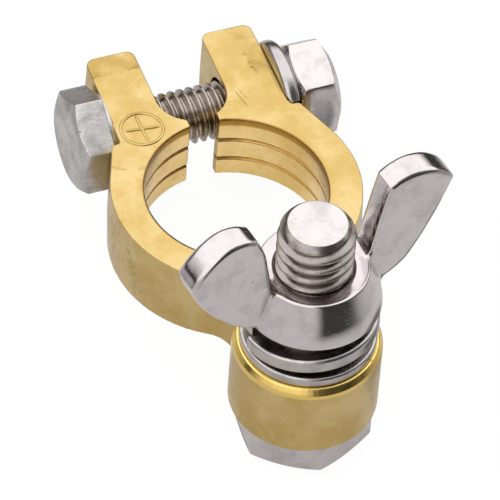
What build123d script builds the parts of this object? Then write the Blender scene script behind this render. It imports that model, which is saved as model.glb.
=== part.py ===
from build123d import *
import math
import os

# Battery post clamp with a wing-nut stud, in millimetres.
# Frame: origin on the axis of the post bore at the underside of the ring,
# +Z up through the chamfered mouth of the bore, +X along the clamp bolt from
# its head to its nut, the clamping ears towards +Y and the stud towards -Y.

# ---- ring and bore ----
RING_H = 8.45            # height of the ring, ears and neck
RING_R = 13.08           # outside radius at mid height
DRAFT_DEG = 2.0          # casting draft, both ways from mid height
BAND_R = (9.59, 9.50, 9.41)   # the post's taper in three steps, bottom band first
MOUTH_R = 9.83           # two-step chamfer at the mouth
MOUTH_STEP_R = 9.47
MOUTH_STEP_Z = 0.18
MOUTH_DEPTH = 0.78
GROOVE_Z = (2.35, 5.25)  # two vee grooves round the wall
GROOVE_DEPTH = 0.42
GROOVE_HALF = 0.28
# ---- ears and slot ----
EAR_END_Y = 21.45
EAR_X_END = 9.2
EAR_X_ROOT = 9.45
SHOULDER_X = 10.35       # shoulder that stops the bolt head turning
SHOULDER_Y = 9.37
FLANK_X, FLANK_Y = 12.22, 4.68
SLOT_X, SLOT_HALF = -0.1, 3.72
SLOT_ROUND_Y = 13.7
SLIT_HALF = 1.6
# ---- stud boss ----
STUD_Y = -20.85
BOSS_R = 7.6
BOSS_Z0 = -0.75
BOSS_CH_R, BOSS_CH_Z = 0.45, 0.7
NECK_FILLET = 3.2
STUD_HOLE_R = 4.15
# ---- clamp bolt, M6 ----
BOLT_Y, BOLT_Z = 14.35, 4.225
BOLT_HOLE_R = 3.3
M6_R = 2.97
M6_AF = 9.8
HEAD_H = 4.0
HEAD_FACE = 0.4
BOLT_LEN = 24.85
SEAT_HEAD_X, SEAT_NUT_X = -9.2, 9.15
SEAT_HEAD_R, SEAT_NUT_R = 4.75, 6.2
LW_T, LW_RO, LW_RI = 1.6, 5.9, 3.3
M6_NUT_H, M6_NUT_BORE = 4.88, 3.02
M6_NUT_TURN = -17.5
# ---- stud, 5/16-18 ----
STUD_R = 3.95
STUD_AF = 12.7
STUD_HEAD_H = 4.4
STUD_TOP = 25.15
STUD_CHAMFER = 0.95
STUD_HEX_DEG = -154.3
# ---- washers on the stud ----
FW_T, FW_RO, FW_RI = 1.2, 6.98, 4.25
SW_T, SW_RO, SW_RI = 1.75, 7.05, 4.35
SW_PITCH, SW_TURNS, SW_START_DEG = 2.41, 1.02, -172.0
SW_Z0 = 10.63            # height of the coil centreline at its lower end
SW_LEAN_DEG = 3.6
# ---- wing nut ----
WN_BASE_Z = 14.05
WN_R, WN_RIM, WN_TOP_R, WN_H = 7.15, 0.55, 5.45, 5.05
WN_BORE = 4.0
WN_SINK_R, WN_SINK_Z = 4.6, 0.6
WING_DEG = 10.5
WING_T = 3.3
# wing outlines as (distance from the axis, height above the base); the two wings are not quite alike
WING_INNER = [(5.1, 4.2), (5.65, 5.9), (6.25, 8.6), (6.85, 11.4)]
WING_TOP_A = [(7.5, 13.9), (8.7, 14.55), (10.4, 14.75), (12.4, 14.2), (14.0, 13.0), (14.8, 12.0)]
WING_SIDE_A = [(14.1, 10.3), (13.2, 8.0), (12.1, 5.8), (10.9, 3.9), (9.5, 2.2), (6.9, 0.65)]
WING_TOP_B = [(7.9, 13.8), (9.2, 14.5), (10.9, 14.55), (12.8, 13.6), (14.4, 12.0), (15.25, 10.7)]
WING_SIDE_B = [(14.7, 9.0), (13.7, 7.0), (12.4, 5.2), (11.0, 3.7), (9.5, 2.2), (6.9, 0.65)]

os.makedirs("parts", exist_ok=True)

# neck fillet centres, tangent to ring and boss
_a = RING_R + NECK_FILLET
_b = BOSS_R + NECK_FILLET
_d = -STUD_Y
NECK_CY = -(_a * _a - _b * _b + _d * _d) / (2 * _d)
NECK_CX = math.sqrt(_a * _a - NECK_CY * NECK_CY)

# ---------------------------------------------------------------- clamp body
with BuildPart() as clamp_body:
    # ring, neck and ears drawn at mid height and drafted both ways
    with BuildSketch(Plane.XY.offset(RING_H / 2)) as outline:
        Circle(RING_R)
        with BuildLine():
            Polyline(
                (-FLANK_X, FLANK_Y), (-SHOULDER_X, SHOULDER_Y), (-EAR_X_ROOT, SHOULDER_Y),
                (-EAR_X_END, EAR_END_Y), (EAR_X_END, EAR_END_Y), (EAR_X_ROOT, SHOULDER_Y),
                (SHOULDER_X, SHOULDER_Y), (FLANK_X, FLANK_Y), (0, 0), close=True)
        make_face()
        with BuildLine():
            Polyline((0, 0), (NECK_CX, NECK_CY), (0, STUD_Y), (-NECK_CX, NECK_CY), close=True)
        make_face()
        with Locations((NECK_CX, NECK_CY), (-NECK_CX, NECK_CY)):
            Circle(NECK_FILLET, mode=Mode.SUBTRACT)
        with Locations((0, STUD_Y)):
            Circle(BOSS_R - 0.35)
        vs = outline.vertices()
        fillet([v for v in vs if abs(abs(v.X) - SHOULDER_X) < 0.01 and abs(v.Y - SHOULDER_Y) < 0.01], 0.6)
        vs = outline.vertices()
        fillet([v for v in vs if abs(abs(v.X) - EAR_X_ROOT) < 0.01 and abs(v.Y - SHOULDER_Y) < 0.01], 0.25)
        vs = outline.vertices()
        fillet([v for v in vs if abs(abs(v.X) - EAR_X_END) < 0.01 and abs(v.Y - EAR_END_Y) < 0.01], 1.1)
    extrude(amount=RING_H / 2, both=True, taper=DRAFT_DEG)
    # stud boss with a chamfered top rim, standing slightly below the ring
    with BuildSketch(Plane.XZ.offset(-STUD_Y)):
        with BuildLine():
            Polyline((0, BOSS_Z0), (BOSS_R - 0.2, BOSS_Z0), (BOSS_R, BOSS_Z0 + 0.2),
                     (BOSS_R, RING_H - BOSS_CH_Z), (BOSS_R - BOSS_CH_R, RING_H), (0, RING_H), close=True)
        make_face()
    revolve(axis=Axis((0, STUD_Y, 0), (0, 0, 1)))
    # slot between the ears, rounded at its inner end, and the narrow slit
    with BuildSketch(Plane.XY.offset(-1)):
        with Locations((SLOT_X, SLOT_ROUND_Y)):
            Circle(SLOT_HALF)
        with Locations((SLOT_X, (SLOT_ROUND_Y + 24) / 2)):
            Rectangle(2 * SLOT_HALF, 24 - SLOT_ROUND_Y)
        with Locations((SLOT_X, 9.5)):
            Rectangle(2 * SLIT_HALF, 5.0)
    extrude(amount=RING_H + 2, mode=Mode.SUBTRACT)
    # rounded inner corners at the ear ends
    es = [e for e in clamp_body.edges().filter_by(Axis.Z, tolerance=3)
          if abs(abs(e.center().X - SLOT_X) - SLOT_HALF) < 0.05 and e.center().Y > EAR_END_Y - 0.4]
    fillet(es, 0.95)
    # post bore: three bands between two vee grooves, stepped mouth
    prof = [(0, -1), (BAND_R[0], -1)]
    for gz, below, above in ((GROOVE_Z[0], BAND_R[0], BAND_R[1]), (GROOVE_Z[1], BAND_R[1], BAND_R[2])):
        prof += [(below, gz - GROOVE_HALF), (below + GROOVE_DEPTH, gz), (above, gz + GROOVE_HALF)]
    prof += [(BAND_R[2], RING_H - MOUTH_DEPTH), (MOUTH_STEP_R, RING_H - MOUTH_STEP_Z),
             (MOUTH_R, RING_H), (MOUTH_R + 1.0, RING_H + 1), (0, RING_H + 1)]
    with BuildSketch(Plane.XZ):
        with BuildLine():
            Polyline(*prof, close=True)
        make_face()
    revolve(axis=Axis.Z, mode=Mode.SUBTRACT)
    # clamp bolt hole and the two seats on the ears
    with BuildSketch(Plane.YZ.offset(-12)):
        with Locations((BOLT_Y, BOLT_Z)):
            Circle(BOLT_HOLE_R)
    extrude(amount=24, mode=Mode.SUBTRACT)
    with BuildSketch(Plane.YZ.offset(SEAT_HEAD_X)):
        with Locations((BOLT_Y, BOLT_Z)):
            Circle(SEAT_HEAD_R)
    extrude(amount=-1.2, mode=Mode.SUBTRACT)
    with BuildSketch(Plane.YZ.offset(SEAT_NUT_X)):
        with Locations((BOLT_Y, BOLT_Z)):
            Circle(SEAT_NUT_R)
    extrude(amount=4, mode=Mode.SUBTRACT)
    # stud hole
    with BuildSketch(Plane.XY.offset(BOSS_Z0 - 1)):
        with Locations((0, STUD_Y)):
            Circle(STUD_HOLE_R)
    extrude(amount=RING_H + 3, mode=Mode.SUBTRACT)
clamp_body.part.label = "clamp_body"

# ---------------------------------------------------------------- clamp bolt
with BuildPart() as clamp_bolt:
    with BuildSketch(Plane.YZ.offset(SEAT_HEAD_X - HEAD_FACE)):
        with Locations((BOLT_Y, BOLT_Z)):
            RegularPolygon(radius=M6_AF / 2, side_count=6, major_radius=False, rotation=30)
    extrude(amount=-(HEAD_H - HEAD_FACE))
    # turned cone on the outer corners of the head
    with BuildSketch(Plane.XY.offset(BOLT_Z)):
        with BuildLine():
            Polyline((SEAT_HEAD_X - HEAD_H - 1, BOLT_Y), (SEAT_HEAD_X - HEAD_H - 1, BOLT_Y + M6_AF / 2 * 0.95 - 1.73),
                     (SEAT_HEAD_X - HEAD_H, BOLT_Y + M6_AF / 2 * 0.95),
                     (SEAT_HEAD_X - HEAD_H + 1.4, BOLT_Y + M6_AF / 2 * 0.95 + 1.4 * 1.73),
                     (SEAT_HEAD_X - HEAD_FACE - 0.35, BOLT_Y + 7.1),
                     (SEAT_HEAD_X - HEAD_FACE, BOLT_Y + M6_AF / 2 * 1.09),
                     (SEAT_HEAD_X - HEAD_FACE, BOLT_Y), close=True)
        make_face()
    revolve(axis=Axis((0, BOLT_Y, BOLT_Z), (1, 0, 0)), mode=Mode.INTERSECT)
    with BuildSketch(Plane.YZ.offset(SEAT_HEAD_X - HEAD_FACE)):
        with Locations((BOLT_Y, BOLT_Z)):
            Circle(M6_AF / 2 * 0.92)
    extrude(amount=HEAD_FACE)
    with BuildSketch(Plane.YZ.offset(SEAT_HEAD_X)):
        with Locations((BOLT_Y, BOLT_Z)):
            Circle(M6_R)
    extrude(amount=BOLT_LEN)
    tip = [e for e in clamp_bolt.edges().filter_by(GeomType.CIRCLE) if e.center().X > SEAT_HEAD_X + BOLT_LEN - 0.01]
    chamfer(tip, 0.6)
clamp_bolt.part.label = "clamp_bolt"

# ---------------------------------------------------------- clamp lock washer
with BuildPart() as clamp_lock_washer:
    with BuildSketch(Plane.YZ.offset(SEAT_NUT_X)):
        with Locations((BOLT_Y, BOLT_Z)):
            Circle(LW_RO)
            Circle(LW_RI, mode=Mode.SUBTRACT)
    extrude(amount=LW_T)
    chamfer([e for e in clamp_lock_washer.edges().filter_by(GeomType.CIRCLE) if e.radius > LW_RI + 1], 0.22)
    # the slanted split
    with BuildSketch(Plane.XZ.offset(-(BOLT_Y - 7))):
        with BuildLine():
            Polyline((SEAT_NUT_X - 0.2, BOLT_Z - 0.62), (SEAT_NUT_X - 0.2, BOLT_Z - 0.22),
                     (SEAT_NUT_X + LW_T + 0.2, BOLT_Z + 0.62), (SEAT_NUT_X + LW_T + 0.2, BOLT_Z + 0.22), close=True)
        make_face()
    extrude(amount=-7, mode=Mode.SUBTRACT)
clamp_lock_washer.part.label = "clamp_lock_washer"

# ------------------------------------------------------------------ clamp nut
NUT_X0 = SEAT_NUT_X + LW_T
with BuildPart() as clamp_nut:
    with BuildSketch(Plane.YZ.offset(NUT_X0)):
        with Locations((BOLT_Y, BOLT_Z)):
            RegularPolygon(radius=M6_AF / 2, side_count=6, major_radius=False, rotation=30 + M6_NUT_TURN)
    extrude(amount=M6_NUT_H)
    nr = M6_AF / 2 * 0.95
    with BuildSketch(Plane.XY.offset(BOLT_Z)):
        with BuildLine():
            Polyline((NUT_X0, BOLT_Y), (NUT_X0, BOLT_Y + nr), (NUT_X0 + 1.4, BOLT_Y + nr + 1.4 * 1.73),
                     (NUT_X0 + M6_NUT_H - 1.4, BOLT_Y + nr + 1.4 * 1.73),
                     (NUT_X0 + M6_NUT_H, BOLT_Y + nr), (NUT_X0 + M6_NUT_H, BOLT_Y), close=True)
        make_face()
    revolve(axis=Axis((0, BOLT_Y, BOLT_Z), (1, 0, 0)), mode=Mode.INTERSECT)
    with BuildSketch(Plane.YZ.offset(NUT_X0 - 1)):
        with Locations((BOLT_Y, BOLT_Z)):
            Circle(M6_NUT_BORE)
    extrude(amount=M6_NUT_H + 2, mode=Mode.SUBTRACT)
    chamfer([e for e in clamp_nut.edges().filter_by(GeomType.CIRCLE) if e.radius < M6_NUT_BORE + 0.05], 0.35)
clamp_nut.part.label = "clamp_nut"

# ------------------------------------------------------------------ stud bolt
with BuildPart() as stud_bolt:
    with BuildSketch(Plane.XY.offset(BOSS_Z0 - STUD_HEAD_H)):
        with Locations((0, STUD_Y)):
            RegularPolygon(radius=STUD_AF / 2, side_count=6, major_radius=False, rotation=STUD_HEX_DEG)
    extrude(amount=STUD_HEAD_H)
    hr = STUD_AF / 2 * 0.95
    zb = BOSS_Z0 - STUD_HEAD_H
    with BuildSketch(Plane.XZ.offset(-STUD_Y)):
        with BuildLine():
            Polyline((0, zb), (hr, zb), (hr + 1.2 * 1.73, zb + 1.2), (hr + 1.2 * 1.73, BOSS_Z0), (0, BOSS_Z0), close=True)
        make_face()
    revolve(axis=Axis((0, STUD_Y, 0), (0, 0, 1)), mode=Mode.INTERSECT)
    with BuildSketch(Plane.XY.offset(BOSS_Z0)):
        with Locations((0, STUD_Y)):
            Circle(STUD_R)
    extrude(amount=STUD_TOP - BOSS_Z0)
    chamfer([e for e in stud_bolt.edges().filter_by(GeomType.CIRCLE) if e.center().Z > STUD_TOP - 0.01], STUD_CHAMFER)
stud_bolt.part.label = "stud_bolt"

# ----------------------------------------------------------- stud flat washer
with BuildPart() as stud_flat_washer:
    with BuildSketch(Plane.XY.offset(RING_H)):
        with Locations((0, STUD_Y)):
            Circle(FW_RO)
            Circle(FW_RI, mode=Mode.SUBTRACT)
    extrude(amount=FW_T)
    chamfer([e for e in stud_flat_washer.edges().filter_by(GeomType.CIRCLE) if e.radius > FW_RI + 1], 0.15)
stud_flat_washer.part.label = "stud_flat_washer"

# --------------------------------------------------------- stud spring washer
SW_HEIGHT = SW_PITCH * SW_TURNS
SW_MID_R = (SW_RO + SW_RI) / 2
_sa, _sl = math.radians(SW_START_DEG), math.radians(SW_LEAN_DEG)
coil_plane = Plane(origin=(0, STUD_Y, SW_Z0),
                   x_dir=(math.cos(_sa), math.sin(_sa) * math.cos(_sl), -math.sin(_sa) * math.sin(_sl)),
                   z_dir=(0, math.sin(_sl), math.cos(_sl)))
with BuildPart() as stud_spring_washer:
    with BuildLine(coil_plane) as coil:
        Helix(pitch=SW_PITCH, height=SW_HEIGHT, radius=SW_MID_R)
    start = coil.line @ 0
    with BuildSketch(Plane(origin=start, x_dir=start - coil_plane.origin, z_dir=coil.line % 0)):
        RectangleRounded(SW_RO - SW_RI, SW_T, 0.2)
    sweep(path=coil.line, is_frenet=True)
stud_spring_washer.part.label = "stud_spring_washer"

# ------------------------------------------------------------------- wing nut
wing_plane = Plane(origin=(0, STUD_Y, WN_BASE_Z), x_dir=(math.cos(math.radians(WING_DEG)), math.sin(math.radians(WING_DEG)), 0),
                   z_dir=(math.sin(math.radians(WING_DEG)), -math.cos(math.radians(WING_DEG)), 0))
with BuildPart() as wing_nut:
    with BuildSketch(Plane.XZ.offset(-STUD_Y)):
        with BuildLine():
            Polyline((0, WN_BASE_Z), (WN_R - 0.3, WN_BASE_Z), (WN_R, WN_BASE_Z + 0.3), (WN_R, WN_BASE_Z + WN_RIM + 0.3),
                     (6.35, WN_BASE_Z + 2.6), (WN_TOP_R + 0.18, WN_BASE_Z + WN_H - 0.3),
                     (WN_TOP_R - 0.12, WN_BASE_Z + WN_H), (0, WN_BASE_Z + WN_H), close=True)
        make_face()
    revolve(axis=Axis((0, STUD_Y, 0), (0, 0, 1)))
    for s, tip_top, tip_side in ((1, WING_TOP_A, WING_SIDE_A), (-1, WING_TOP_B, WING_SIDE_B)):
        with BuildSketch(wing_plane) as wing_outline:
            with BuildLine():
                inner = Spline(*[(s * u, w) for u, w in WING_INNER + tip_top[:1]])
                top = Spline(*[(s * u, w) for u, w in tip_top])
                outer = Spline(*[(s * u, w) for u, w in tip_top[-1:] + tip_side])
                root = Polyline((s * 6.9, 0.65), (s * 3.9, 0.65), (s * 3.9, 4.2), (s * 5.1, 4.2))
            make_face()
            tip = [v for v in wing_outline.vertices() if v.Z > WN_BASE_Z + 10]
            fillet(tip, 0.5)
        extrude(amount=WING_T / 2, both=True)
    with BuildSketch(Plane.XY.offset(WN_BASE_Z - 1)):
        with Locations((0, STUD_Y)):
            Circle(WN_BORE)
    extrude(amount=WN_H + 2.5, mode=Mode.SUBTRACT)
    with BuildSketch(Plane.XZ.offset(-STUD_Y)):
        with BuildLine():
            Polyline((0, WN_BASE_Z + WN_H - WN_SINK_Z), (WN_BORE, WN_BASE_Z + WN_H - WN_SINK_Z),
                     (WN_SINK_R, WN_BASE_Z + WN_H), (WN_SINK_R, WN_BASE_Z + WN_H + 1), (0, WN_BASE_Z + WN_H + 1), close=True)
        make_face()
    revolve(axis=Axis((0, STUD_Y, 0), (0, 0, 1)), mode=Mode.SUBTRACT)
wing_nut.part.label = "wing_nut"

export_step(clamp_body.part, "parts/clamp_body.step")
export_step(clamp_bolt.part, "parts/clamp_bolt.step")
export_step(clamp_lock_washer.part, "parts/clamp_lock_washer.step")
export_step(clamp_nut.part, "parts/clamp_nut.step")
export_step(stud_bolt.part, "parts/stud_bolt.step")
export_step(stud_flat_washer.part, "parts/stud_flat_washer.step")
export_step(stud_spring_washer.part, "parts/stud_spring_washer.step")
export_step(wing_nut.part, "parts/wing_nut.step")
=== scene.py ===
import math
import bpy
import numpy as np
import openvdb
from mathutils import Matrix, Vector


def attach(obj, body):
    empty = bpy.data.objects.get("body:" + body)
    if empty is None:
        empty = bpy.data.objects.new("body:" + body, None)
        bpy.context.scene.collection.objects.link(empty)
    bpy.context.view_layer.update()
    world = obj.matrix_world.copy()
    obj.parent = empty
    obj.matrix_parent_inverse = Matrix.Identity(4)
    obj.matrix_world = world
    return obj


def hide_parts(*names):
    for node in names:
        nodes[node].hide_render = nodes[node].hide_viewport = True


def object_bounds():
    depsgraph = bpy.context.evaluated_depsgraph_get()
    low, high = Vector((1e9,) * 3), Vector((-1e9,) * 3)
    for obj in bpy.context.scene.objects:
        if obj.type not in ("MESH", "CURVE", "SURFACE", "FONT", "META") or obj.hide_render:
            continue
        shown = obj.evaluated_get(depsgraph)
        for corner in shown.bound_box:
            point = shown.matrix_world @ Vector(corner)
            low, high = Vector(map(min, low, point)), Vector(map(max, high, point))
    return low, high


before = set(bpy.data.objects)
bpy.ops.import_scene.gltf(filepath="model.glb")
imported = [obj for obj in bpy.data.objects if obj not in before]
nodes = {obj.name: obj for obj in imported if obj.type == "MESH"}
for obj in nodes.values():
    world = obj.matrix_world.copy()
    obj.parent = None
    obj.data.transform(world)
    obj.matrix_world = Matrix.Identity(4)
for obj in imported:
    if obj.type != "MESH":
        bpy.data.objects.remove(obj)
cad_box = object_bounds()
MM = 0.001
TAU = 2 * math.pi
SY = -20.85                      # stud axis, y
P_STUD, R_STUD, ROOT_STUD = 1.41111, 3.93, 3.12
P_BOLT, R_BOLT, ROOT_BOLT = 1.0, 2.95, 2.38
BOLT_Y, BOLT_Z = 14.35, 4.225


# ================================================================== materials
def new_mat(name):
    m = bpy.data.materials.new(name)
    m.use_nodes = True
    return m, m.node_tree, m.node_tree.nodes["Principled BSDF"]


class G:
    """Short helpers that wire a node tree."""

    def __init__(self, nt):
        self.nt = nt
        self.obj = nt.nodes.new("ShaderNodeTexCoord").outputs["Object"]

    def put(self, sock, v):
        if hasattr(v, "is_output"):
            self.nt.links.new(v, sock)
        elif v is not None:
            sock.default_value = v

    def math(self, op, a, b=None, c=None, clamp=False):
        n = self.nt.nodes.new("ShaderNodeMath")
        n.operation = op
        n.use_clamp = clamp
        for i, v in enumerate((a, b, c)):
            if v is not None:
                self.put(n.inputs[i], v)
        return n.outputs[0]

    def noise(self, scale, detail=3.0, rough=0.55, vec=None, dist=0.0):
        n = self.nt.nodes.new("ShaderNodeTexNoise")
        self.put(n.inputs["Vector"], self.obj if vec is None else vec)
        n.inputs["Scale"].default_value = scale
        n.inputs["Detail"].default_value = detail
        n.inputs["Roughness"].default_value = rough
        n.inputs["Distortion"].default_value = dist
        return n.outputs["Fac"]

    def voronoi(self, scale, feature="F1", vec=None, rand=1.0):
        n = self.nt.nodes.new("ShaderNodeTexVoronoi")
        n.feature = feature
        self.put(n.inputs["Vector"], self.obj if vec is None else vec)
        n.inputs["Scale"].default_value = scale
        n.inputs["Randomness"].default_value = rand
        return n.outputs["Distance"]

    def ramp(self, v, a, b, lo=0.0, hi=1.0, smooth=True):
        n = self.nt.nodes.new("ShaderNodeMapRange")
        n.interpolation_type = "SMOOTHSTEP" if smooth else "LINEAR"
        self.put(n.inputs["Value"], v)
        n.inputs["From Min"].default_value = a
        n.inputs["From Max"].default_value = b
        n.inputs["To Min"].default_value = lo
        n.inputs["To Max"].default_value = hi
        return n.outputs["Result"]

    def mixc(self, f, a, b, mode="MIX"):
        n = self.nt.nodes.new("ShaderNodeMix")
        n.data_type = "RGBA"
        n.blend_type = mode
        self.put(n.inputs["Factor"], f)
        self.put(n.inputs[6], a if hasattr(a, "is_output") else (*a, 1.0))
        self.put(n.inputs[7], b if hasattr(b, "is_output") else (*b, 1.0))
        return n.outputs[2]

    def mapping(self, scale=(1, 1, 1), rot=(0, 0, 0), loc=(0, 0, 0)):
        n = self.nt.nodes.new("ShaderNodeMapping")
        self.put(n.inputs["Vector"], self.obj)
        n.inputs["Scale"].default_value = scale
        n.inputs["Rotation"].default_value = rot
        n.inputs["Location"].default_value = loc
        return n.outputs[0]

    def dist_to(self, p):
        n = self.nt.nodes.new("ShaderNodeVectorMath")
        n.operation = "DISTANCE"
        self.put(n.inputs[0], self.obj)
        n.inputs[1].default_value = tuple(c * MM for c in p)
        return n.outputs["Value"]

    def xyz(self):
        n = self.nt.nodes.new("ShaderNodeSeparateXYZ")
        self.put(n.inputs[0], self.obj)
        return n.outputs

    def bump(self, height, dist, strength=1.0, normal=None):
        n = self.nt.nodes.new("ShaderNodeBump")
        n.inputs["Strength"].default_value = strength
        n.inputs["Distance"].default_value = dist
        self.put(n.inputs["Height"], height)
        if normal is not None:
            self.put(n.inputs["Normal"], normal)
        return n.outputs["Normal"]


def make_brass():
    m, nt, bs = new_mat("brass_cast")
    g = G(nt)
    x, y, z = g.xyz()
    broad = g.noise(170, 4, 0.6)
    mottle = g.noise(620, 5, 0.62, dist=0.6)
    fine = g.noise(4200, 3, 0.6)
    col = g.mixc(g.ramp(broad, 0.36, 0.66), (0.575, 0.40, 0.135), (0.69, 0.52, 0.235))
    col = g.mixc(g.math("MULTIPLY", g.ramp(mottle, 0.48, 0.72), 0.45), col, (0.55, 0.365, 0.115))
    cloud = g.noise(330, 3, 0.5, dist=1.2)
    col = g.mixc(g.math("MULTIPLY", g.ramp(cloud, 0.52, 0.68), 0.40), col, (0.70, 0.545, 0.26))
    # painted shade: warmer, darker colour in the two vee grooves and at the step under the mouth, where shade falls
    rad = g.math("SQRT", g.math("ADD", g.math("MULTIPLY", x, x), g.math("MULTIPLY", y, y)))
    groove_shade = g.math("MAXIMUM", g.ramp(g.math("ABSOLUTE", g.math("SUBTRACT", z, 0.00235)), 0.00038, 0.00010),
                     g.ramp(g.math("ABSOLUTE", g.math("SUBTRACT", z, 0.00525)), 0.00038, 0.00010))
    groove_shade = g.math("MULTIPLY", groove_shade, g.ramp(rad, 0.0107, 0.0103))
    mouth_step_shade = g.math("MULTIPLY", g.math("MULTIPLY", g.ramp(z, 0.00838, 0.00828), g.ramp(z, 0.0073, 0.0076)), g.ramp(rad, 0.0104, 0.0101))
    # painted shade in the mouth step and the grooves
    col = g.mixc(g.math("MULTIPLY", mouth_step_shade, 0.92), col, (0.33, 0.175, 0.030))
    col = g.mixc(g.math("MULTIPLY", groove_shade, 0.95), col, (0.33, 0.145, 0.014))
    # a brighter, yellower band on the boss's top rim
    from_stud = g.math("ADD", y, 0.02085)
    from_stud = g.math("SQRT", g.math("ADD", g.math("MULTIPLY", x, x), g.math("MULTIPLY", from_stud, from_stud)))
    rim = g.math("MULTIPLY", g.math("MULTIPLY", g.ramp(from_stud, 0.0068, 0.0070), g.ramp(from_stud, 0.0080, 0.0079)), g.math("MULTIPLY", g.ramp(z, 0.0072, 0.0074), g.ramp(y, -0.0135, -0.0150)))
    col = g.mixc(g.math("MULTIPLY", rim, 0.85), col, (0.92, 0.66, 0.20))
    # tarnish freckles
    freckle = g.ramp(g.voronoi(900), 0.13, 0.05)
    freckle = g.math("MULTIPLY", freckle, g.ramp(g.noise(260, 2), 0.5, 0.62))
    col = g.mixc(g.math("MULTIPLY", freckle, 0.45), col, (0.34, 0.20, 0.06))
    # casting pits in two upright bands on the left wall, and a few elsewhere
    def near(p, r):
        return g.ramp(g.dist_to(p), r * MM, r * 0.35 * MM)
    bands = None
    for p, r in (((-13.05, 0.9, 6.4), 1.0), ((-13.05, 0.3, 5.0), 1.1), ((-13.0, -0.3, 3.6), 1.0), ((-13.0, -0.3, 2.4), 0.9),
                 ((-12.7, -3.1, 5.9), 0.8), ((-12.55, -3.6, 4.6), 1.0), ((-12.4, -4.1, 3.2), 1.2), ((-12.3, -4.4, 1.8), 1.1),
                 ((-12.25, -4.5, 0.7), 1.0)):
        v = near(p, r)
        bands = v if bands is None else g.math("MAXIMUM", bands, v)
    pits = g.math("MULTIPLY", bands, g.ramp(g.noise(1500, 4, 0.7, dist=0.8), 0.53, 0.66))
    sparse = g.math("MULTIPLY", g.ramp(g.voronoi(430), 0.10, 0.03), g.ramp(g.noise(210, 2), 0.55, 0.66))
    pits = g.math("MAXIMUM", pits, g.math("MULTIPLY", sparse, 0.6))
    col = g.mixc(g.math("MULTIPLY", pits, 0.75), col, (0.12, 0.065, 0.02))
    # painted reflection: a darker strip along the outer side of each ear's end, with a ragged edge, painted as a dark
    # reflection; it is also rougher and sunk a little in the bump
    rag = g.math("MULTIPLY", g.math("SUBTRACT", g.noise(1100, 5, 0.75, dist=0.7), 0.5), 0.0024)
    top = g.ramp(z, 0.00825, 0.00835)
    right = g.math("MULTIPLY", g.ramp(g.math("ADD", g.math("ADD", x, g.math("MULTIPLY", y, 0.14)), rag), 0.00920, 0.00965),
                   g.ramp(g.math("ADD", y, rag), 0.0140, 0.0152))
    left = g.math("MULTIPLY", g.ramp(g.math("ADD", y, rag), 0.0185, 0.0190), g.ramp(x, -0.0030, -0.0034))
    ear_end_strip_dark_reflection = g.math("MULTIPLY", g.math("MULTIPLY", top, g.math("MAXIMUM", right, left)), g.ramp(g.noise(300, 3), 0.33, 0.55, 0.25, 1.0))
    # painted dark reflection on the ear ends
    col = g.mixc(g.math("MULTIPLY", ear_end_strip_dark_reflection, 0.62), col, (0.46, 0.30, 0.085))
    # shallow scratches on the right ear and a faint darker arc beside the left one
    def line(a, b, w):
        """1 on the segment a-b of the top face, 0 beyond w, all in mm"""
        dx, dy = b[0] - a[0], b[1] - a[1]
        ln = math.hypot(dx, dy)
        ux, uy = dx / ln, dy / ln
        px, py = g.math("SUBTRACT", x, a[0] * MM), g.math("SUBTRACT", y, a[1] * MM)
        along = g.math("ADD", g.math("MULTIPLY", px, ux), g.math("MULTIPLY", py, uy))
        across = g.math("ABSOLUTE", g.math("SUBTRACT", g.math("MULTIPLY", px, -uy), g.math("MULTIPLY", py, -ux)))
        on = g.math("MULTIPLY", g.ramp(along, 0.0, 0.25 * ln * MM), g.ramp(along, ln * MM, 0.75 * ln * MM))
        return g.math("MULTIPLY", g.math("MULTIPLY", g.ramp(across, w * MM, 0.15 * w * MM), on), top)
    scratch = g.math("MAXIMUM", line((4.35, 13.1), (5.1, 9.75), 0.14), g.math("MULTIPLY", line((4.75, 13.3), (5.35, 10.9), 0.10), 0.6))
    arc_r = g.math("SUBTRACT", g.dist_to((-8.3, 9.6, 8.45)), 4.3 * MM)
    arc = g.math("MULTIPLY", g.ramp(g.math("ABSOLUTE", arc_r), 0.22 * MM, 0.05 * MM),
                 g.math("MULTIPLY", g.ramp(y, 0.0073, 0.0062), g.ramp(x, -0.0055, -0.0066)))
    arc = g.math("MULTIPLY", g.math("MULTIPLY", arc, top), g.ramp(mottle, 0.36, 0.5))
    col = g.mixc(g.math("MULTIPLY", arc, 0.35), col, (0.40, 0.26, 0.08))
    g.put(bs.inputs["Base Color"], col)
    bs.inputs["Metallic"].default_value = 1.0
    rough = g.ramp(mottle, 0.3, 0.75, 0.16, 0.31)
    rough = g.math("ADD", rough, g.math("MULTIPLY", g.math("MAXIMUM", ear_end_strip_dark_reflection, pits), 0.15))
    g.put(bs.inputs["Roughness"], rough)
    h = g.math("MULTIPLY", g.ramp(broad, 0.2, 0.8), 0.030)
    h = g.math("ADD", h, g.math("MULTIPLY", mottle, 0.012))
    h = g.math("ADD", h, g.math("MULTIPLY", fine, 0.0022))
    h = g.math("SUBTRACT", h, g.math("MULTIPLY", pits, 0.10))
    h = g.math("SUBTRACT", h, g.math("MULTIPLY", freckle, 0.008))
    h = g.math("SUBTRACT", h, g.math("MULTIPLY", ear_end_strip_dark_reflection, 0.035))
    h = g.math("SUBTRACT", h, g.math("MULTIPLY", scratch, 0.045))
    h = g.math("SUBTRACT", h, g.math("MULTIPLY", arc, 0.03))
    g.put(bs.inputs["Normal"], g.bump(h, MM))
    return m


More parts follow.
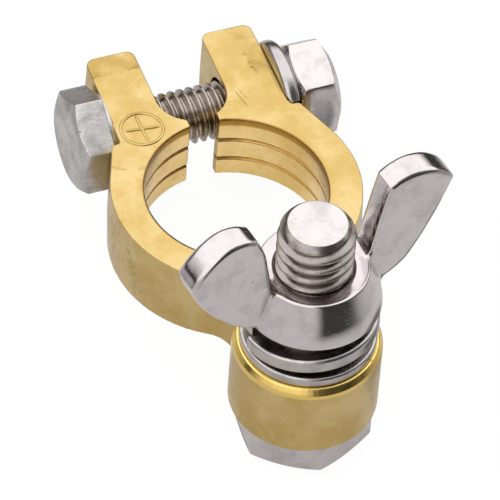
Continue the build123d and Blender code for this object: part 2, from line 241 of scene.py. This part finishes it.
def make_steel(name, base, dark, rough, brushed=None, speck=0.5, orange=0.006, grain=0.2):
    """Bright plated or stainless steel: soft staining, specks, micro scratches, and brushing where brushed = stretch axes."""
    m, nt, bs = new_mat(name)
    g = G(nt)
    stain = g.noise(420, 5, 0.65, dist=0.5)
    fine = g.noise(3600, 3, 0.6)
    col = g.mixc(g.ramp(stain, 0.42, 0.72), base, dark)
    spots = g.math("MULTIPLY", g.ramp(g.voronoi(1100), 0.16, 0.05), g.ramp(g.noise(330, 3), 0.52, 0.64))
    col = g.mixc(g.math("MULTIPLY", spots, speck), col, (0.12, 0.11, 0.105))
    g.put(bs.inputs["Base Color"], col)
    bs.inputs["Metallic"].default_value = 1.0
    r = g.ramp(stain, 0.3, 0.8, rough * 0.75, rough * 1.5)
    h = g.math("ADD", g.math("MULTIPLY", g.noise(330, 3, 0.5), orange * 2.5), g.math("MULTIPLY", fine, orange * grain))
    h = g.math("SUBTRACT", h, g.math("MULTIPLY", spots, orange * 2.0))
    if brushed:
        streak = g.noise(1.0, 4, 0.7, vec=g.mapping(scale=brushed))
        h = g.math("ADD", h, g.math("MULTIPLY", streak, orange * 0.9))
        r = g.math("ADD", r, g.ramp(streak, 0.35, 0.7, -0.02, 0.10))
    scr = g.ramp(g.noise(1.0, 2, 0.5, vec=g.mapping(scale=(1500, 14000, 2500), rot=(0.3, 0.5, 0.9))), 0.66, 0.72)
    h = g.math("SUBTRACT", h, g.math("MULTIPLY", scr, orange * 0.4))
    g.put(bs.inputs["Roughness"], r)
    g.put(bs.inputs["Normal"], g.bump(h, MM))
    return m


BRASS = make_brass()
CHROME = make_steel("wing_nut_nickel", (0.67, 0.625, 0.635), (0.56, 0.515, 0.525), 0.12, orange=0.007, grain=0.5)
STEEL = make_steel("bolt_stainless", (0.68, 0.645, 0.645), (0.56, 0.525, 0.525), 0.16, orange=0.006, grain=0.4)
# painted shade: the ground, brushed bolt head gets a darker base than the steel at its end, painted in as shade on its
# flats
GROUND_SHADED = make_steel("bolt_head_ground_shaded", (0.58, 0.56, 0.555), (0.40, 0.38, 0.375), 0.30, brushed=(9000, 900, 2200), speck=0.6, orange=0.020, grain=0.9)
# painted shade: both thread materials are the same steel as the bolt ends, with a darker base painted in as shade in
# the thread grooves
THREAD_SHADED = make_steel("thread_rolled_painted_shade", (0.37, 0.335, 0.315), (0.24, 0.21, 0.195), 0.22, orange=0.005, grain=0.5)
THREAD6_SHADED = make_steel("thread_small_painted_shade", (0.46, 0.41, 0.375), (0.31, 0.265, 0.235), 0.22, orange=0.005, grain=0.5)
WASHER = make_steel("washer_steel", (0.54, 0.515, 0.51), (0.42, 0.395, 0.39), 0.17, brushed=(500, 500, 9000), orange=0.006)


# ===================================================================== meshes
def add(name, verts, faces, mats, body, replaces=(), ids=None, smooth_deg=38.0):
    """A mesh in millimetres becomes a piece in metres that rides on a body."""
    me = bpy.data.meshes.new(name)
    me.from_pydata([tuple(v * MM for v in p) for p in verts], [], [tuple(int(i) for i in f) for f in faces])
    for m in mats:
        me.materials.append(m)
    if ids is not None:
        me.polygons.foreach_set("material_index", ids)
    me.validate()
    me.update()
    me.shade_smooth()
    if smooth_deg:
        me.set_sharp_from_angle(angle=math.radians(smooth_deg))
    o = bpy.data.objects.new(name, me)
    bpy.context.scene.collection.objects.link(o)
    if replaces:
        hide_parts(*replaces)
    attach(o, body)
    return o


def bevel(o, width, deg=30, seg=3):
    b = o.modifiers.new("edge", "BEVEL")
    b.width = width * MM
    b.segments = seg
    b.limit_method = "ANGLE"
    b.angle_limit = math.radians(deg)
    b.harden_normals = False


def grid_faces(rows, n, start=0, wrap=True):
    f = []
    for j in range(rows - 1):
        for i in range(n if wrap else n - 1):
            a = start + j * n + i
            b = start + j * n + (i + 1) % n
            f.append((a, b, b + n, a + n))
    return f


def thread_r(phase, crest, root, flat_crest=0.16, flat_root=0.14):
    """Radius of a vee thread; phase in turns, crest at 0. Rolled: the crest is rounded a little."""
    p = np.abs((phase + 0.5) % 1.0 - 0.5) * 2          # 0 at crest, 1 at root
    t = np.clip((p - flat_crest) / (1 - flat_crest - flat_root), 0, 1)
    t = t * t * (3 - 2 * t) * 0.35 + t * 0.65
    return crest + (root - crest) * t


def hex_outline(af, rc, per_flat=9, per_arc=5):
    """Points of a hexagon with corner radius rc, first corner at angle 0."""
    a, pts = af / 2, []
    rcorner = (a - rc) / math.cos(math.pi / 6)
    for k in range(6):
        c = k * math.pi / 3
        cx, cy = rcorner * math.cos(c), rcorner * math.sin(c)
        for i in range(per_arc):
            t = c - math.pi / 6 + math.pi / 3 * i / (per_arc - 1)
            pts.append((cx + rc * math.cos(t), cy + rc * math.sin(t)))
        c2 = c + math.pi / 3
        p0 = np.array(pts[-1])
        t2 = c2 - math.pi / 6
        p1 = np.array([rcorner * math.cos(c2) + rc * math.cos(t2), rcorner * math.sin(c2) + rc * math.sin(t2)])
        for i in range(1, per_flat):
            pts.append(tuple(p0 + (p1 - p0) * i / per_flat))
    return np.array(pts)


def bolt(length, crest, root, pitch, chamfer, af, head_h, face_r, corner, washer_face, steps=32, shoulder=0.0):
    """A hex bolt along +z: seat at z 0, head below it down to -head_h, shank end at z = length. Returns verts, faces, ids (0 head, 1 thread, 2 end face, 3 head face)."""
    out = hex_outline(af, corner)
    n = len(out)
    ang = np.arctan2(out[:, 1], out[:, 0])
    rad = np.hypot(out[:, 0], out[:, 1])
    cs = np.stack([np.cos(ang), np.sin(ang)], 1)
    rows, ids = [], []

    def ring(r, z, mat):
        rr = np.broadcast_to(r, (n,))
        zz = np.broadcast_to(z, (n,))
        rows.append(np.concatenate([cs * rr[:, None], zz[:, None]], 1))
        ids.append(mat)

    t30 = math.tan(math.radians(30))
    # head, from the centre of the outer face outwards, up the side, in under the head
    for f in (0.06, 0.35, 0.7, 0.93):
        ring(face_r * f, -head_h, 3)
    ring(face_r - 0.06, -head_h, 3)
    ring(face_r + 0.06, -head_h + 0.03, 0)
    for f in (0.35, 0.7):
        ring(face_r + 0.06 + (rad - face_r - 0.06) * f, -head_h + 0.03 + (rad - face_r - 0.06) * f * t30, 0)
    zc = -head_h + 0.03 + np.maximum(rad - face_r - 0.06, 0) * t30
    ring(rad - 0.035, zc - 0.03, 0)
    ring(rad, zc + 0.05, 0)
    seat_low = -washer_face if washer_face else 0.0
    zt = seat_low - 0.10
    for f in (0.3, 0.6, 1.0):
        ring(rad, zc + 0.05 + (zt - zc - 0.05) * f, 0)
    ring(rad - 0.08, seat_low - 0.01, 0)
    if washer_face:
        wf = af / 2 * 0.97
        ring(wf + 0.05, seat_low, 0)
        ring(wf, seat_low + 0.02, 0)
        ring(wf - 0.02, -0.03, 0)
        ring(wf - 0.08, 0.0, 0)
    ring(crest + 0.12, 0.0, 1)
    # threaded shank
    z = np.arange(0.04, length - 0.001, pitch / steps)
    for zz in z:
        r = thread_r(zz / pitch - ang / TAU, crest, root)
        if shoulder:
            q = min(max((zz - (length - shoulder)) / shoulder, 0.0), 1.0)
            r = np.minimum(r, crest - chamfer * (0.30 * q + 0.70 * q ** 2.4))
        else:
            r = np.minimum(r, crest - np.maximum(zz - (length - chamfer), 0))
        if zz < 0.5:
            r = r + (crest - r) * (1 - zz / 0.5)
        ring(r, zz, 1)
    r_end = crest - chamfer
    ring(r_end, length - 0.03, 2)
    ring(r_end - 0.10, length, 2)
    for f in (0.75, 0.45, 0.1):
        ring(r_end * f, length, 2)
    v = np.concatenate(rows)
    faces = grid_faces(len(rows), n)
    fid = []
    for j in range(len(rows) - 1):
        fid += [ids[j + 1]] * n
    lo = len(v)
    v = np.concatenate([v, [[0, 0, -head_h], [0, 0, length]]])
    last = (len(rows) - 1) * n
    for i in range(n):
        faces.append((i + 0, lo, (i + 1) % n))
        faces.append((last + (i + 1) % n, lo + 1, last + i))
        fid += [3, 2]
    return v, faces, np.array(fid, dtype=np.int32)


def lathe(profile, n=160):
    """Closed (r, z) outline turned round z, counter-clockwise outline seen with r right and z up."""
    a = np.arange(n) / n * TAU
    v = []
    for r, z in profile:
        v.append(np.stack([r * np.cos(a), r * np.sin(a), np.full(n, z)], 1))
    k = len(profile)
    f = []
    for j in range(k):
        for i in range(n):
            f.append((j * n + i, j * n + (i + 1) % n, ((j + 1) % k) * n + (i + 1) % n, ((j + 1) % k) * n + i))
    return np.concatenate(v), f


def rounded_rect(w, h, r, per=4, flat=3):
    pts = []
    for cx, cy, a0 in ((w / 2 - r, h / 2 - r, 0), (-w / 2 + r, h / 2 - r, 90), (-w / 2 + r, -h / 2 + r, 180), (w / 2 - r, -h / 2 + r, 270)):
        for i in range(per + 1):
            a = math.radians(a0 + 90 * i / per)
            pts.append((cx + r * math.cos(a), cy + r * math.sin(a)))
    return np.array(pts)


def sweep(frames, outline):
    """Outline (u, v) swept through frames (origin, u axis, v axis), closed with flat ends."""
    k = len(outline)
    v = np.concatenate([o + outline[:, :1] * u + outline[:, 1:] * w for o, u, w in frames])
    f = []
    for j in range(len(frames) - 1):
        for i in range(k):
            f.append((j * k + i, (j + 1) * k + i, (j + 1) * k + (i + 1) % k, j * k + (i + 1) % k))
    f.append(tuple(range(k)))
    f.append(tuple(reversed([(len(frames) - 1) * k + i for i in range(k)])))
    return v, f


def orient(o):
    """All faces outwards."""
    import bmesh
    bm = bmesh.new()
    bm.from_mesh(o.data)
    bmesh.ops.recalc_face_normals(bm, faces=bm.faces)
    bm.to_mesh(o.data)
    bm.free()


# ------------------------------------------------------------------- the body
body = nodes["clamp_body"]
body.data.materials.clear()
body.data.materials.append(BRASS)
rm = body.modifiers.new("one_skin", "REMESH")
rm.mode = "VOXEL"
rm.voxel_size = 0.095 * MM
rm.adaptivity = 0.0
rm.use_smooth_shade = True
sm = body.modifiers.new("tumbled_edges", "SMOOTH")
sm.factor = 0.5
sm.iterations = 3

# ----------------------------------------------------- polarity mark on the ear
MARK = (-6.58, 10.42)


def bead(points, closed, width=0.17, height=0.13):
    prof = [(-width, -0.12), (-width, 0.0), (-width * 0.72, height * 0.72), (0, height), (width * 0.72, height * 0.72), (width, 0.0), (width, -0.12)]
    k = len(prof)
    v, f = [], []
    m = len(points)
    for i in range(m):
        a = points[i - 1] if (i or closed) else points[0]
        b = points[(i + 1) % m] if (i < m - 1 or closed) else points[-1]
        d = np.array(b) - np.array(a)
        d = d / np.linalg.norm(d)
        nrm = np.array([d[1], -d[0]])
        taper = 1.0
        if not closed:
            e = min(i, m - 1 - i) / 4
            taper = math.sqrt(max(1 - (1 - min(e, 1)) ** 2, 0.02))
        for pu, pz in prof:
            v.append((*(np.array(points[i]) + nrm * pu * taper), 8.45 + (pz * (taper if pz > 0 else 1))))
    for i in range(m if closed else m - 1):
        j = (i + 1) % m
        for q in range(k - 1):
            f.append((i * k + q, i * k + q + 1, j * k + q + 1, j * k + q))
        f.append((i * k + k - 1, i * k, j * k, j * k + k - 1))
    if not closed:
        f.append(tuple(range(k)))
        f.append(tuple(reversed([(m - 1) * k + q for q in range(k)])))
    return v, f


mv, mf = bead([(MARK[0] + 2.2 * math.cos(a), MARK[1] + 2.2 * math.sin(a)) for a in np.arange(96) / 96 * TAU], True)
for ang_deg in (-89.0, -6.0):
    a = math.radians(ang_deg)
    t = np.linspace(-1.92, 1.92, 27)
    v2, f2 = bead([(MARK[0] + q * math.cos(a), MARK[1] + q * math.sin(a)) for q in t], False)
    s0 = len(mv)
    mv += v2
    mf += [tuple(i + s0 for i in f) for f in f2]
mark = add("polarity_mark", mv, mf, [BRASS], "clamp", smooth_deg=60)
orient(mark)

# --------------------------------------------------------------- stud and bolt
def place(v, axis_x, axis_y, axis_z, origin):
    R = np.stack([axis_x, axis_y, axis_z], 1)
    return v @ R.T + np.array(origin)


h0 = math.radians(-154.3)
v, f, ids = bolt(25.9, R_STUD, ROOT_STUD, P_STUD, 0.95, 12.7, 4.4, 5.6, 0.35, 0.0, shoulder=1.55)
v = place(v, (math.cos(h0), math.sin(h0), 0), (-math.sin(h0), math.cos(h0), 0), (0, 0, 1), (0, SY, -0.75))
stud = add("stud_bolt_threaded", v, f, [STEEL, THREAD_SHADED, STEEL, STEEL], "clamp", ["stud_bolt"], ids, 35)
orient(stud)

# M6 bolt lies along +X, head at -X; corners up
v, f, ids = bolt(24.85, R_BOLT, ROOT_BOLT, P_BOLT, 0.55, 9.8, 4.0, 4.35, 0.22, 0.4)
v = place(v, (0, 0, 1), (0, -1, 0), (1, 0, 0), (-9.2, BOLT_Y, BOLT_Z))
clamp_bolt = add("clamp_bolt_threaded", v, f, [GROUND_SHADED, THREAD6_SHADED, STEEL, GROUND_SHADED], "clamp", ["clamp_bolt"], ids, 35)
orient(clamp_bolt)


# ------------------------------------------------------------------------ nut
def hex_nut(af, height, crest, root, pitch, phase0, face_r, corner, clear, far_r):
    out = hex_outline(af, corner)
    n = len(out)
    ang = np.arctan2(out[:, 1], out[:, 0])
    rad = np.hypot(out[:, 0], out[:, 1])
    cs = np.stack([np.cos(ang), np.sin(ang)], 1)
    rows = []

    def ring(r, z):
        rr, zz = np.broadcast_to(r, (n,)), np.broadcast_to(z, (n,))
        rows.append(np.concatenate([cs * rr[:, None], zz[:, None]], 1))

    t30 = math.tan(math.radians(30))
    rise = np.maximum(rad - face_r, 0) * t30
    # outside, bottom to top
    ring(face_r - 0.05, 0.0)
    ring(face_r + 0.03, 0.02)
    ring(face_r + (rad - face_r) * 0.5, rise * 0.5 + 0.02)
    ring(rad - 0.03, rise)
    ring(rad, rise + 0.06)
    for q in (0.33, 0.66):
        ring(rad, rise + 0.06 + (height - 2.4 * rise - 0.12) * q * 0.9)
    far = np.maximum(rad - far_r, 0) * t30
    ring(rad, height - far - 0.06)
    ring(rad - 0.03, height - far)
    ring(far_r + (rad - far_r) * 0.5, height - far * 0.5 - 0.02)
    ring(far_r + 0.03, height - 0.02)
    ring(far_r - 0.05, height)
    ring(crest + 0.45, height)
    outer = len(rows)
    # inside, top to bottom
    zz = np.arange(height - 0.02, 0.019, -pitch / 24)
    for z in zz:
        r = thread_r((z + phase0) / pitch - ang / TAU, crest, root) + clear
        r = np.maximum(r, crest + 0.35 - z) if z < 0.5 else r
        r = np.maximum(r, crest + 0.35 - (height - z))
        ring(r, z)
    ring(crest + 0.42, 0.0)
    v = np.concatenate(rows)
    f = grid_faces(len(rows), n)
    k = (len(rows) - 1) * n
    for i in range(n):
        f.append((k + i, k + (i + 1) % n, (i + 1) % n, i))
    ids = np.array([0 if j < outer - 1 else 1 for j in range(len(rows) - 1) for _ in range(n)] + [0] * n, dtype=np.int32)
    return v, f, ids


# the bolt's thread phase is counted from its seat at x -9.2, with angle 0 up; the nut starts at x 10.75 and is turned 17.5 degrees
turn = math.radians(17.5)
# same axes as the bolt: local x = up turned by the nut's own angle
ax, ay, az = np.array([0, 0, 1.0]), np.array([0, -1.0, 0]), np.array([1.0, 0, 0])
nx = ax * math.cos(turn) - ay * math.sin(turn)
ny = ax * math.sin(turn) + ay * math.cos(turn)
# local angle a' = bolt angle + turn, so z/P - a'/TAU here has to equal (z + 19.95)/P - (a' - turn)/TAU
ph = ((10.75 + 9.2) / P_BOLT + turn / TAU) % 1.0
v, f, ids = hex_nut(9.8, 4.87, R_BOLT, ROOT_BOLT, P_BOLT, ph * P_BOLT, 4.38, 0.28, 0.045, 3.85)
v = place(v, nx, ny, az, (10.75, BOLT_Y, BOLT_Z))
nut = add("clamp_nut_threaded", v, f, [STEEL, THREAD_SHADED], "clamp_nut", ["clamp_nut"], ids, 35)
orient(nut)

# -------------------------------------------------------------------- washers
def washer_profile(ri, ro, t, r=0.2, crown=0.0):
    pts = []
    for cx, cz, a0 in ((ro - r, t - r, 0), (ri + r, t - r, 90), (ri + r, r, 180), (ro - r, r, 270)):
        for i in range(5):
            a = math.radians(a0 + 90 * i / 4)
            pts.append((cx + r * math.cos(a), cz + r * math.sin(a)))
    return pts


v, f = lathe(washer_profile(4.25, 6.97, 1.19, 0.28))
v = v + np.array([0, SY, 8.455])
fw = add("flat_washer_stamped", v, f, [WASHER], "flat_washer", ["stud_flat_washer"], smooth_deg=40)
orient(fw)


def coil(mid_r, w, t, pitch, turns, z0, origin, ex, ey, ez, corner, n=150, cut=0.25):
    frames = []
    for i in range(n + 1):
        a = TAU * turns * i / n
        c, s = math.cos(a), math.sin(a)
        rad = ex * c + ey * s
        o = origin + rad * mid_r + ez * (pitch * a / TAU + z0)
        frames.append((o, rad, ez))
    return sweep(frames, rounded_rect(w, t, corner))


sa, sl = math.radians(-172.0), math.radians(3.6)
ez = np.array([0, math.sin(sl), math.cos(sl)])
ex = np.array([math.cos(sa), math.sin(sa) * math.cos(sl), -math.sin(sa) * math.sin(sl)])
ey = np.cross(ez, ex)
v, f = coil(5.7, 2.7, 1.73, 2.41, 1.02, 0.0, np.array([0, SY, 10.63]), ex, ey, ez, 0.40)
sw = add("spring_washer_coil", v, f, [WASHER], "spring_washer", ["stud_spring_washer"], smooth_deg=40)
orient(sw)

# the lock washer is a split ring in the plane of the nut seat
frames = []
gap0 = math.radians(150)
for i in range(141):
    a = gap0 + math.radians(9) + (TAU - math.radians(18)) * i / 140
    rad = np.array([0, math.cos(a), math.sin(a)])
    skew = 0.0
    frames.append((np.array([9.95 + skew, BOLT_Y, BOLT_Z]) + rad * 4.6, rad, np.array([1.0, 0, 0])))
v, f = sweep(frames, rounded_rect(2.58, 1.58, 0.62, 7))
lw = add("lock_washer_split", v, f, [WASHER], "lock_washer", ["clamp_lock_washer"], smooth_deg=40)
orient(lw)

# ------------------------------------------------------------------- wing nut
def smax(a, b, k):
    h = np.clip(0.5 - 0.5 * (b - a) / k, 0, 1)
    return b * (1 - h) + a * h + k * h * (1 - h)


def smin(a, b, k):
    return -smax(-a, -b, k)


def catmull(pts, m=8):
    p = np.array(pts, float)
    p = np.concatenate([[2 * p[0] - p[1]], p, [2 * p[-1] - p[-2]]])
    out = []
    for i in range(1, len(p) - 2):
        for q in range(m):
            t = q / m
            out.append(0.5 * (2 * p[i] + (p[i + 1] - p[i - 1]) * t + (2 * p[i - 1] - 5 * p[i] + 4 * p[i + 1] - p[i + 2]) * t * t
                              + (3 * p[i] - p[i - 1] - 3 * p[i + 1] + p[i + 2]) * t ** 3))
    out.append(p[-2])
    return out


def poly_sdf(S, Z, poly):
    d = np.full(S.shape, 1e9)
    inside = np.zeros(S.shape, bool)
    m = len(poly)
    for i in range(m):
        ax_, az_ = poly[i]
        bx_, bz_ = poly[(i + 1) % m]
        ex_, ez_ = bx_ - ax_, bz_ - az_
        L2 = ex_ * ex_ + ez_ * ez_
        if L2 < 1e-12:
            continue
        t = np.clip(((S - ax_) * ex_ + (Z - az_) * ez_) / L2, 0, 1)
        d = np.minimum(d, np.hypot(S - ax_ - t * ex_, Z - az_ - t * ez_))
        cross = ((az_ > Z) != (bz_ > Z))
        xs = ax_ + (Z - az_) / (bz_ - az_ if abs(bz_ - az_) > 1e-12 else 1e-12) * ex_
        inside ^= cross & (S < xs)
    return np.where(inside, -d, d)


WN_Z = 14.05
VOX = 0.10
s_ = np.arange(-15.6, 15.61, VOX)
t_ = np.arange(-7.7, 7.71, VOX)
z_ = np.arange(-0.5, 15.31, VOX)
S, T, Z = np.meshgrid(s_, t_, z_, indexing="ij")
S, T, Z = (a.astype(np.float32) for a in (S, T, Z))
Rr = np.hypot(S, T)
# hub: a cone with an upright rim, softened edges
hub = smax(Rr - 7.13, (Rr - 7.22 + (Z - 0.85) * (7.15 - 5.50) / 4.2) * 0.93, 0.5)
hub = smax(hub, Z - 5.05, 0.18)
hub = smax(hub, -Z, 0.45)
# wings: the outline of each as (distance from the axis, height above the base)
INNER = [(5.0, 3.6), (5.5, 5.4), (6.1, 8.4), (6.7, 11.3)]


def wing_outline(top, outer):
    return [tuple(p) for p in catmull(INNER + top[:1]) + catmull(top) + catmull(top[-1:] + outer)] + [(3.4, 0.75), (3.4, 3.6)]


OUT_A = wing_outline([(7.3, 13.85), (8.6, 14.45), (10.4, 14.68), (12.4, 14.14), (14.0, 12.95), (14.75, 12.0)],
                     [(14.05, 10.3), (13.15, 8.0), (12.05, 5.8), (10.85, 3.9), (9.45, 2.2), (7.0, 0.75)])
OUT_B = wing_outline([(7.75, 13.75), (9.1, 14.42), (10.9, 14.48), (12.75, 13.55), (14.35, 11.95), (15.15, 10.7)],
                     [(14.65, 9.0), (13.65, 7.0), (12.35, 5.2), (10.95, 3.7), (9.45, 2.2), (7.0, 0.75)])
S2, Z2 = np.meshgrid(s_, z_, indexing="ij")
right2 = poly_sdf(S2, Z2, OUT_A)
left2 = poly_sdf(-S2, Z2, OUT_B)
wing2 = np.minimum(right2, left2).astype(np.float32)
half2 = (1.50 + 0.24 * np.clip((np.abs(S2) - 7.5) / 6.5, 0, 1) + 0.30 * np.clip((6.5 - Z2) / 5.0, 0, 1)).astype(np.float32)
top_soft = 0.62 + 0.60 * np.clip(T / 1.6, 0, 1)            # the far rim of each wing is rounder than the near one
wing = smax(wing2[:, None, :], np.abs(T) - half2[:, None, :], top_soft)
d = smin(hub, wing, 0.65)
d = np.maximum(d, -Z)
# bore: the stud's own thread form and a little clearance, in step with it at rest
theta = np.arctan2(T, S) + math.radians(10.5)             # angle in the row frame
stud_angle = theta - h0                                   # angle in the stud's own frame
zz = Z + WN_Z + 0.75
bore = thread_r(zz / P_STUD - stud_angle / TAU, R_STUD, ROOT_STUD).astype(np.float32) + 0.06
bore = np.maximum(bore, 4.14 - np.abs(5.05 - Z) * 1.0)
bore = np.maximum(bore, 4.35 - np.abs(Z) * 1.0)
d = np.maximum(d, (bore - Rr) * 0.7)
grid = openvdb.FloatGrid()
grid.background = 1.0
grid.copyFromArray(np.clip(d, -1.0, 1.0).astype(np.float32))
pts, quads = grid.convertToQuads()
pts = pts * VOX + np.array([s_[0], t_[0], z_[0]])
c, s = math.cos(math.radians(10.5)), math.sin(math.radians(10.5))
v = np.stack([pts[:, 0] * c - pts[:, 1] * s, pts[:, 0] * s + pts[:, 1] * c + SY, pts[:, 2] + WN_Z], 1)
v[:, 2] = np.maximum(v[:, 2], WN_Z + 0.01)
wn = add("wing_nut_forged", v, quads, [CHROME], "wing_nut", ["wing_nut"], smooth_deg=0)
orient(wn)
ws = wn.modifiers.new("polish", "SMOOTH")
ws.factor = 0.5
ws.iterations = 1
print("wing nut", len(v), len(quads))

# ==================================================================== camera
CAM_LOC = (-0.1723785, -0.4025413, 0.4913855)
CAM_X = (0.9382327, -0.3419771, 0.0526417)
CAM_Y = (0.2234537, 0.7150267, 0.6624238)
CAM_Z = (-0.2641740, -0.6097447, 0.7472774)
cam = bpy.data.cameras.new("camera")
cam.sensor_width = 36.0
cam.lens = 460.431
cam.clip_start, cam.clip_end = 0.01, 20.0
co = bpy.data.objects.new("camera", cam)
co.matrix_world = Matrix.Translation(Vector(CAM_LOC)) @ Matrix((CAM_X, CAM_Y, CAM_Z)).transposed().to_4x4()
bpy.context.scene.collection.objects.link(co)
bpy.context.scene.camera = co

# ============================================================ floor and light
# The floor is white to the eye; what the metal mirrors of it is a lit sheet that ends a hand's width away.
def side(g, x, y, cx, cy, lo, hi):
    """1 where the level direction (x, y) points towards (cx, cy)"""
    ln = g.math("SQRT", g.math("ADD", g.math("ADD", g.math("MULTIPLY", x, x), g.math("MULTIPLY", y, y)), 1e-9))
    return g.ramp(g.math("DIVIDE", g.math("ADD", g.math("MULTIPLY", x, cx), g.math("MULTIPLY", y, cy)), ln), lo, hi)


def level_light(g, x, y):
    """Brightness at the horizon: a dark room, a grey card at the front left, a fainter one at the right."""
    v = g.math("ADD", g.math("MULTIPLY", side(g, x, y, -0.75, -0.66, 0.66, 0.86), 0.62), 0.05)
    return g.math("ADD", v, g.math("MULTIPLY", side(g, x, y, 0.97, -0.22, 0.72, 0.95), 0.30))


fm = bpy.data.materials.new("floor_pale")
fm.use_nodes = True
nt = fm.node_tree
nt.nodes.clear()
g = G(nt)
fx, fy, fz = g.xyz()
rr = g.math("SQRT", g.math("ADD", g.math("MULTIPLY", fx, fx), g.math("MULTIPLY", fy, fy)))
far = g.ramp(rr, 0.045, 0.13)
sheet = g.math("ADD", g.math("MULTIPLY", g.math("SUBTRACT", 1.0, far), 0.66), g.math("MULTIPLY", far, level_light(g, fx, fy)))
sheet = g.math("ADD", sheet, g.ramp(rr, 0.0125, 0.0085, 0.0, 0.62))           # painted pool of light under the ring, seen only in reflections
sheet = g.math("ADD", sheet, g.math("MULTIPLY", g.math("MULTIPLY", far, side(g, fx, fy, -0.80, 0.60, 0.70, 0.90)), 0.42))
behind = g.ramp(g.dist_to((25.0, -24.0, 0.0)), 0.013, 0.006, 0.0, 0.72)       # and the shade at the front right
sheet = g.math("MULTIPLY", sheet, g.math("SUBTRACT", 1.0, behind))
seen = nt.nodes.new("ShaderNodeBsdfDiffuse")
seen.inputs["Color"].default_value = (0.08, 0.08, 0.08, 1)
glow = nt.nodes.new("ShaderNodeEmission")
glow.inputs["Color"].default_value = (0.94, 0.94, 0.94, 1)
both = nt.nodes.new("ShaderNodeAddShader")
nt.links.new(seen.outputs[0], both.inputs[0])
nt.links.new(glow.outputs[0], both.inputs[1])
lit = nt.nodes.new("ShaderNodeBsdfDiffuse")
self_lit = nt.nodes.new("ShaderNodeEmission")
self_lit.inputs["Color"].default_value = (1.0, 0.975, 0.965, 1)
comb = nt.nodes.new("ShaderNodeCombineColor")
half = g.math("MULTIPLY", sheet, 0.52)
for k in range(3):
    nt.links.new(half, comb.inputs[k])
nt.links.new(comb.outputs[0], lit.inputs["Color"])
nt.links.new(g.math("MULTIPLY", sheet, 0.50), self_lit.inputs["Strength"])
mirrored = nt.nodes.new("ShaderNodeAddShader")
nt.links.new(lit.outputs[0], mirrored.inputs[0])
nt.links.new(self_lit.outputs[0], mirrored.inputs[1])
lp = nt.nodes.new("ShaderNodeLightPath")
mx = nt.nodes.new("ShaderNodeMixShader")
nt.links.new(lp.outputs["Is Camera Ray"], mx.inputs[0])
nt.links.new(mirrored.outputs[0], mx.inputs[1])
nt.links.new(both.outputs[0], mx.inputs[2])
mo = nt.nodes.new("ShaderNodeOutputMaterial")
nt.links.new(mx.outputs[0], mo.inputs["Surface"])
me = bpy.data.meshes.new("floor")
me.from_pydata([(-3, -3, 0), (3, -3, 0), (3, 3, 0), (-3, 3, 0)], [], [(0, 1, 2, 3)])
fl = bpy.data.objects.new("floor", me)
fl.location.z = cad_box[0][2] - 0.00002
me.materials.append(fm)
bpy.context.scene.collection.objects.link(fl)

w = bpy.data.worlds.new("studio")
bpy.context.scene.world = w
w.use_nodes = True
nt = w.node_tree
g = G(nt)
sep = nt.nodes.new("ShaderNodeSeparateXYZ")
tc = nt.nodes.new("ShaderNodeTexCoord")
nt.links.new(tc.outputs["Generated"], sep.inputs[0])
X, Y, Zs = sep.outputs
dome = g.ramp(Zs, 0.12, 0.42)                                  # a wide soft light from 25 degrees up
stand = g.math("ADD", g.math("ADD", g.math("MULTIPLY", X, 0.505), g.math("MULTIPLY", Y, -0.826)), g.math("MULTIPLY", Zs, 0.252))
stand = g.ramp(stand, 0.62, 0.82)                              # the dark shape of whoever stands at the front right
lum = g.math("ADD", g.math("MULTIPLY", dome, 1.46), g.math("MULTIPLY", g.math("SUBTRACT", 1.0, dome), level_light(g, X, Y)))
lum = g.math("MULTIPLY", lum, g.math("SUBTRACT", 1.0, g.math("MULTIPLY", stand, 0.84)))
front = g.math("ADD", g.math("ADD", g.math("MULTIPLY", X, 0.15), g.math("MULTIPLY", Y, -0.68)), g.math("MULTIPLY", Zs, 0.72))
lum = g.math("MULTIPLY", lum, g.ramp(front, 0.86, 0.96, 1.0, 0.38))    # and a dark gap in the light at the front
bgc = g.mixc(dome, (1.0, 0.94, 0.91), (1.0, 0.995, 0.985))
nt.links.new(bgc, nt.nodes["Background"].inputs["Color"])
nt.links.new(lum, nt.nodes["Background"].inputs["Strength"])
bpy.context.scene.view_settings.view_transform = "Standard"
bpy.context.scene.view_settings.look = "None"
